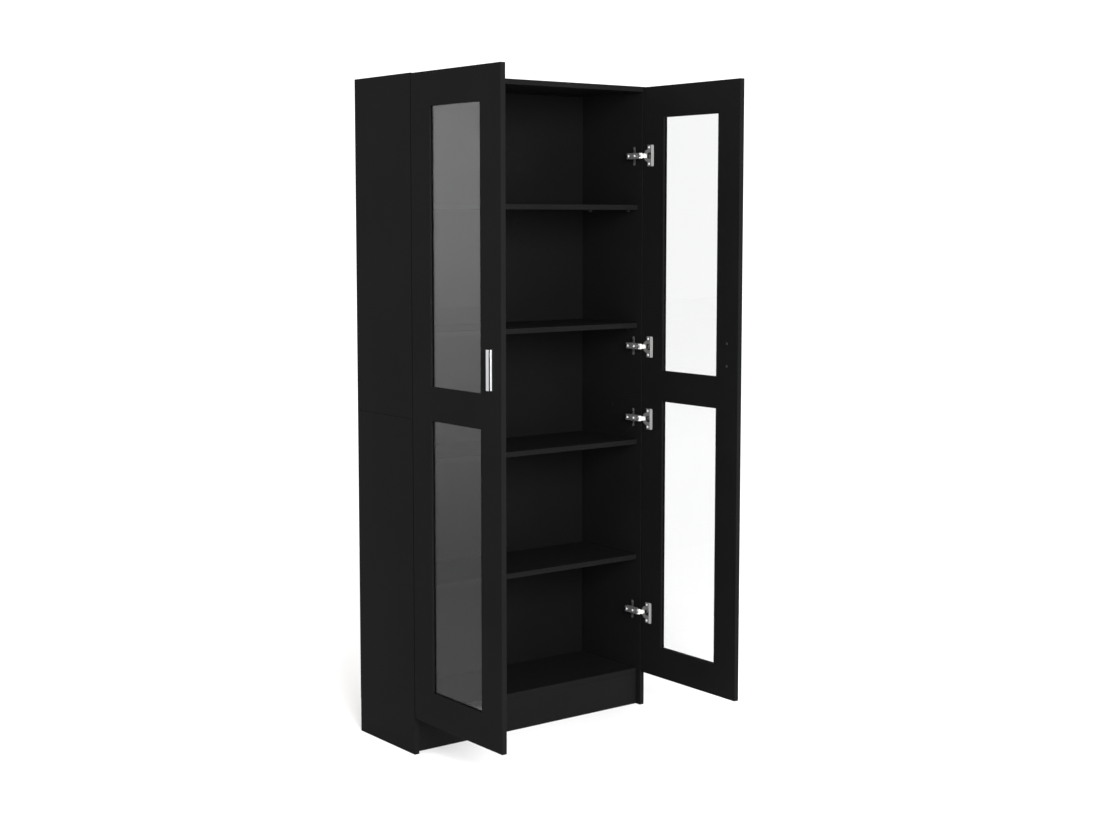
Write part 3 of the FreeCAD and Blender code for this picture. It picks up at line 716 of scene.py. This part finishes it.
def outer_master():
    hook = flat_bar("hook", arm_pin, outer_eye, outer_neck, outer_waist, outer_half)
    claw = flat_bar("claw", outer_neck, outer_waist, cup_pin, outer_claw, outer_half)
    combine(hook, claw, "UNION")
    gap = block("gap", (cup_pin[0] - overrun, outer_neck[1] - overrun, -ear_inside),
                (arm_pin[0] + overrun, arm_pin[1] + overrun, ear_inside))
    combine(hook, gap, "DIFFERENCE")
    combine(hook, web_between(arm_pin, outer_neck), "UNION")
    return rounded(hook, width=0.2)


def inner_master():
    hook = flat_bar("hook", inner_pin, inner_eye, inner_neck, inner_waist, inner_half)
    claw = flat_bar("claw", inner_neck, inner_waist, inner_tip, inner_waist, inner_half)
    combine(hook, claw, "UNION")
    tip = drum("stub", tip_radius, (*inner_tip, -tip_half), (0, 0, 1), 2 * tip_half, sides=16)
    combine(hook, tip, "UNION")
    return rounded(hook, width=0.2)


spread(outer_master(), at_hinges, "outer_hooks", "{hand}_outer_links", "{hand}_outer_links",
       plated_steel)
spread(inner_master(), at_hinges, "inner_hooks", "{hand}_inner_links", "{hand}_inner_links",
       plated_steel)

# %% [markdown]
# ## Screws
#
# The screws have a low domed head with a cross recess. The head is a short drum: its top is
# inset and lifted twice to dome it, its underside is inset and drawn out into the shank, and
# two thin blocks cut the cross. A screw points along X here, with its seat at the origin.

# %% One screw
wall_share, dome_shares = 0.55, ((0.22, 0.28), (0.30, 0.17))
cross_reach_share, cross_half_share, cross_floor_share = 0.55, 0.11, 0.3


def screw_master(head_radius, head_height, shank_radius, shank_length):
    screw = drum("screw", head_radius, (0, 0, 0), (1, 0, 0), head_height * wall_share, sides=28)
    for inset, lift in dome_shares:
        pick(screw, "FACE", lambda face: face.normal.x > 0.99)
        bpy.ops.mesh.inset(thickness=inset * head_radius * mm)
        bpy.ops.transform.translate(value=(lift * head_height * mm, 0, 0))
        done()
    pick(screw, "FACE", lambda face: face.normal.x < -0.99)
    bpy.ops.mesh.inset(thickness=(head_radius - shank_radius) * mm)
    bpy.ops.mesh.extrude_region_move(TRANSFORM_OT_translate={"value": (-shank_length * mm, 0, 0)})
    done()
    reach, half = head_radius * cross_reach_share, head_radius * cross_half_share
    for size in ((reach, half), (half, reach)):
        recess = block("recess", (head_height * cross_floor_share, -size[0], -size[1]),
                       (2 * head_height, *size))
        combine(screw, recess, "DIFFERENCE")
    only(screw)
    bpy.ops.object.shade_smooth_by_angle(angle=math.radians(30))
    return screw


# %% The screws of the hinges
arm_screw = {"head_radius": 3.5, "head_height": 1.8, "shank_radius": 2.1, "shank_length": 12.0}
wood_screw = {"head_radius": 3.4, "head_height": 1.5, "shank_radius": 1.5, "shank_length": 12.5}
on_arm = [(20.5, 0), (-7.5, 0)]
on_cup = [(-57.3, 24), (-57.3, -24)]
on_wings = [(wing_y, 16), (wing_y, -16)]


def beside(x, offsets):
    return [(x, y, height + z) for height in hinge_heights for y, z in offsets]


spread(screw_master(**arm_screw), beside(arm_top, on_arm), "arm_bolts",
       "carcass", "{hand}_arm_screws", steel)
spread(screw_master(**wood_screw), beside(door_face + sheet, on_cup), "cup_fixings",
       "{hand}_door", "{hand}_cup_screws", steel)
spread(screw_master(**wood_screw), beside(board_face + wing_sheet, on_wings), "plate_fixings",
       "carcass", "{hand}_plate_screws", blackened)

# %% [markdown]
# ## The handles
#
# Each handle is a chromed bar with a finger flute down both sides, held by two screws from
# inside the door. A block is cut by two long drums for the flutes, and a bevel rounds what is
# left. Chrome shows its form only by what it mirrors, so these edges have more segments than
# those of the other fittings.

# %% Handles
handle_low, handle_high = corners("left_handle")
handle_x, handle_y = ((low + high) / 2 for low, high in zip(handle_low[:2], handle_high[:2]))
flute_radius, flute_offset, screw_inset = 5.0, 8.4, 20.0
pull_screw = {"head_radius": 4.0, "head_height": 2.2, "shank_radius": 1.9, "shank_length": 21.0}
pull_levels = (handle_low[2] + screw_inset, handle_high[2] - screw_inset)


def handle_master():
    bar = block("bar", handle_low, handle_high)
    length = handle_high[2] - handle_low[2] + 2 * overrun
    for side in (-1, 1):
        start = (handle_x, handle_y + side * flute_offset, handle_low[2] - overrun)
        flute = drum("flute", flute_radius, start, (0, 0, 1), length, sides=72)
        combine(bar, flute, "DIFFERENCE")
    return rounded(bar, width=0.9, segments=4)


spread(screw_master(**pull_screw), [(door_face, handle_y, z) for z in pull_levels],
       "pull_fixings", "{hand}_door", "{hand}_handle_screws", blackened)
spread(handle_master(), [(0, 0, 0)], "pull_bars", "{hand}_door", "{hand}_handle", chrome)

# %% [markdown]
# ## Shelf pins, nails and caps
#
# The loose shelves rest on pins with a flat ledge, the back sheets are held by nails with
# small domed heads, and a black cap covers each cam that shows inside. They are small, and
# each is a primitive with a few moves: a bevel, or an inset top that is lifted to a dome.

# %% Shelf pins
pin_levels, pin_places = [corners(f"shelf_{number}")[0][2] for number in (1, 3, 4)], (34.82, 214.68)
ledge_length, ledge_half, ledge_height = 7.0, 5.0, 5.4
peg_radius, peg_depth, peg_drop, peg_lap = 2.4, 8.0, 2.5, 1.0


def pin_master():
    pin = block("pin", (0, -ledge_half, -ledge_height), (ledge_length, ledge_half, 0))
    peg = drum("peg", peg_radius, (-peg_depth, 0, -peg_drop), (1, 0, 0), peg_depth + peg_lap,
               sides=20)
    combine(pin, peg, "UNION")
    return rounded(pin, width=0.7, segments=3)


spread(pin_master(), [(board_face, y, z) for z in pin_levels for y in pin_places], "shelf_rests",
       "carcass", "shelf_pins", blackened)

# %% Nails
nail_x = (corners("left_side_upper")[0][0] + board_face) / 2
side_nail_levels, middle_nail_levels = (448.75, 1328.75), (102.5, 798.75, 806.25, 1847.5)
nail_head, nail_sheet, dome_inset, dome_lift = 2.3, 0.4, 0.8, 0.35
shank_inset, nail_depth = 1.5, 14.5


def nail_master():
    nail = drum("nail", nail_head, (0, 0, 0), (0, 1, 0), nail_sheet, sides=24)
    pick(nail, "FACE", lambda face: face.normal.y > 0.99)
    bpy.ops.mesh.inset(thickness=dome_inset * mm)
    bpy.ops.transform.translate(value=(0, dome_lift * mm, 0))
    done()
    pick(nail, "FACE", lambda face: face.normal.y < -0.99)
    bpy.ops.mesh.inset(thickness=shank_inset * mm)
    bpy.ops.mesh.extrude_region_move(TRANSFORM_OT_translate={"value": (0, -nail_depth * mm, 0)})
    done()
    only(nail)
    bpy.ops.object.shade_smooth_by_angle(angle=math.radians(30))
    return nail


spread(nail_master(), [(nail_x, back_face, z) for z in side_nail_levels], "side_nails", "carcass",
       "back_nails", steel)
spread(nail_master(), [(0, back_face, z) for z in middle_nail_levels], "nails", "carcass",
       "back_nails", steel, (("middle", 1),))

# %% Caps
cap_radius, cap_sheet, cap_inset, cap_lift = 8.4, 0.5, 1.4, 0.5
side_cap = (board_face, 114.75, 906.0)
under_cap_x, under_cap_y = -373.5, 124.75
under_levels = [corners(node)[0][2] for node in ("bottom_panel", "shelf_2", "top_panel")]


def cap_master():
    cap = drum("cap", cap_radius, (0, 0, 0), (1, 0, 0), cap_sheet)
    pick(cap, "FACE", lambda face: face.normal.x > 0.99)
    bpy.ops.mesh.inset(thickness=cap_inset * mm)
    bpy.ops.transform.translate(value=(cap_lift * mm, 0, 0))
    done()
    return rounded(cap, width=0.15)


def turned_down(cap):
    """The same cap, facing down for the underside of a board."""
    cap.rotation_euler = (0, math.radians(90), 0)
    return settle(cap, "cap")


spread(cap_master(), [side_cap], "cam_caps", "carcass", None, black_bead)
spread(turned_down(cap_master()), [(under_cap_x, under_cap_y, z) for z in under_levels],
       "under_caps", "carcass", None, black_bead)

# %% [markdown]
# ## Floor and light
#
# The floor is a pale plain sheet that meets a white surround, so that nothing competes
# with the black boards. Its tone rises with distance, so that no horizon shows in the panes.
# The surround gives the panes something bright to reflect, and one large soft lamp from the
# front left shapes the edges.

# %% The floor
FLOOR_NEAR, FLOOR_CLOUD, FLOOR_FAR = ((tone,) * 3 for tone in (0.845, 0.855, 0.98))
floor_size, near_reach, far_reach = 40.0, 1.0, 7.0
bpy.ops.object.select_all(action="DESELECT")
bpy.ops.mesh.primitive_plane_add(size=floor_size, location=(0, 0, 0))
floor = bpy.context.object
floor.name = "floor"
pale = Finish("pale_floor", {"Specular IOR Level": 0.2})
cloud = pale.grain(3.0, detail=3.0)
far = pale.node("ShaderNodeVectorMath", {"operation": "LENGTH"}, {0: pale.place}, "Value")
distance = pale.node("ShaderNodeMapRange", {"interpolation_type": "SMOOTHSTEP"},
                     {"Value": far, "From Min": near_reach, "From Max": far_reach})
near_tone = pale.blend(cloud, FLOOR_NEAR, FLOOR_CLOUD)
floor.data.materials.append(pale.feed({"Base Color": pale.blend(distance, near_tone, FLOOR_FAR),
                                       "Roughness": cloud * 0.1 + 0.6}))

# %% The light
scene = bpy.context.scene
scene.view_settings.view_transform = "Standard"
surround = bpy.data.worlds.new("surround")
scene.world = surround
surround.use_nodes = True
backdrop = surround.node_tree.nodes["Background"]
backdrop.inputs["Color"].default_value = (1, 1, 1, 1)
backdrop.inputs["Strength"].default_value = 1.31


def soft_lamp(name, place, target, size, power):
    lamp = bpy.data.lights.new(name, "AREA")
    lamp.shape, lamp.size, lamp.energy = "SQUARE", size, power
    holder = bpy.data.objects.new(name, lamp)
    scene.collection.objects.link(holder)
    holder.location = place
    holder.rotation_euler = (Vector(target) - Vector(place)).to_track_quat("-Z", "Y").to_euler()
    print("lamp:", name, "power:", power)


soft_lamp("lamp_front", place=(-1.7, -5.4, 2.4), target=(0, 0, 0.9), size=3.0, power=800)

# %% [markdown]
# ## A dark card beside the glass
#
# A pane that reflects an even white surround looks like a grey board. Photographers hold a
# dark card low down beside the glass, so that its reflection fades towards the floor. The
# card here fades out upwards and at its sides through its Alpha. It throws no shadow and the
# camera looks past it. Only rays that were reflected, or have passed through glass, meet it.

# %% The card
card_place, card_width, card_height, card_turn = (-0.74, 0.21, 1.0), 0.62, 2.0, 37
bpy.ops.object.select_all(action="DESELECT")
bpy.ops.mesh.primitive_plane_add(size=1.0, location=card_place)
card = bpy.context.object
card.name = "reflection_card"
card.scale = (card_width, card_height, 1.0)
card.rotation_euler = (math.radians(90), 0, math.radians(card_turn))
bpy.ops.object.transform_apply(location=True, rotation=True, scale=True)
dark = Finish("card_black", {"Specular IOR Level": 0.0, "Base Color": (0.02, 0.02, 0.02, 1)})


def fading(axis, full, gone, most=1.0):
    """From the card's full strength at one place along an axis to none at another."""
    sockets = {"Value": dark.along(axis), "From Min": full, "From Max": gone,
               "To Min": most, "To Max": 0.0}
    return dark.node("ShaderNodeMapRange", {"interpolation_type": "SMOOTHSTEP"}, sockets)


upwards, foot = fading("Z", full=0.36, gone=1.74, most=0.73), fading("Z", full=0.03, gone=0.0)
near_side, far_side = fading("X", full=-0.80, gone=-0.86), fading("X", full=-0.65, gone=-0.58)
card.data.materials.append(dark.feed({"Alpha": upwards * foot * near_side * far_side}))
card.visible_camera = card.visible_diffuse = card.visible_shadow = False
card.visible_volume_scatter = False

# %% [markdown]
# ## The camera
#
# The picture's upright edges are parallel. A level camera with its lens shifted down would
# keep them exactly so, but a camera keeps its shift when it is moved to another side, and a
# large one then pushes the bookcase out of the frame. So the camera is tilted down by about
# five degrees, and only a small shift is left. The outermost edges lean by a few pixels.

# %% The camera
tilt_down, turn_right = math.radians(5.303), 0.6503
view = bpy.data.cameras.new("view")
view.sensor_width, view.lens, view.shift_y = 36.0, 56.085, -0.03
stand = bpy.data.objects.new("view", view)
scene.collection.objects.link(stand)
stand.location = (-2.9011, -3.9131, 1.4656)
stand.rotation_euler = (math.radians(90) - tilt_down, 0, -turn_right)
scene.camera = stand
print("camera at:", tuple(stand.location))
